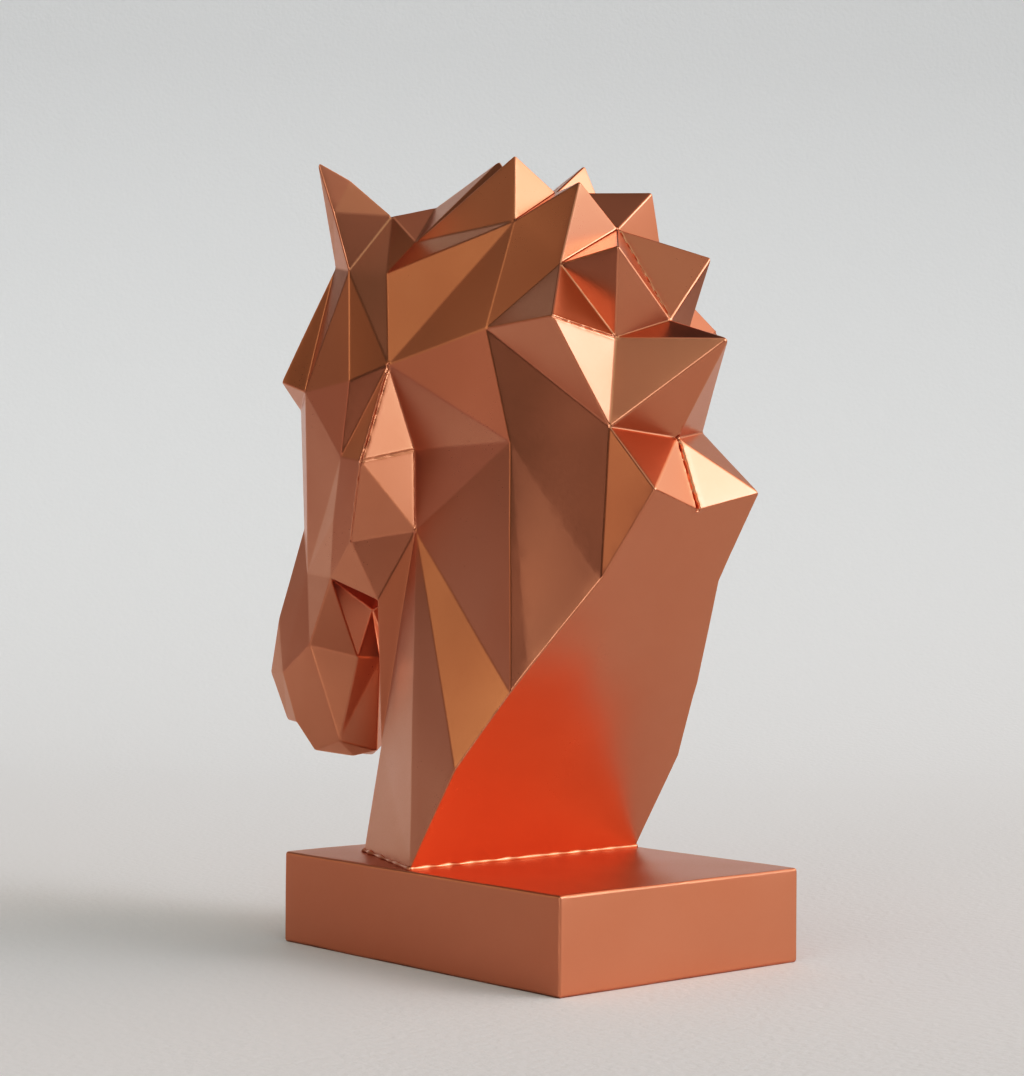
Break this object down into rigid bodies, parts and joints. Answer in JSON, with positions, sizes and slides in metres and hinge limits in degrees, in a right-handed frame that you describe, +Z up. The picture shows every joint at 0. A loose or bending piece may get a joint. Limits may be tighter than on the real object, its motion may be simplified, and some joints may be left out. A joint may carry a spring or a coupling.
{
  "type": "faceted horse head sculpture",
  "caption": "Faceted horse head and neck with a jagged, notched mane, cut off flat behind the neck, standing on a rectangular slab plinth; satin copper.",
  "frame": {"origin": "middle of the plinth's flat underside", "axes": "+Z up, the horse looks along -Y, its left side is +X"},
  "size_m": [0.086, 0.1829, 0.2203],
  "materials": {
    "bust_copper": "satin copper paint, darker in the hollows, pooled along some edges",
    "plinth_copper": "satin copper paint with softened edges"
  },
  "bodies": {
    "root": {"horse_head": "bust_copper", "plinth": "plinth_copper"}
  },
  "joints": []
}
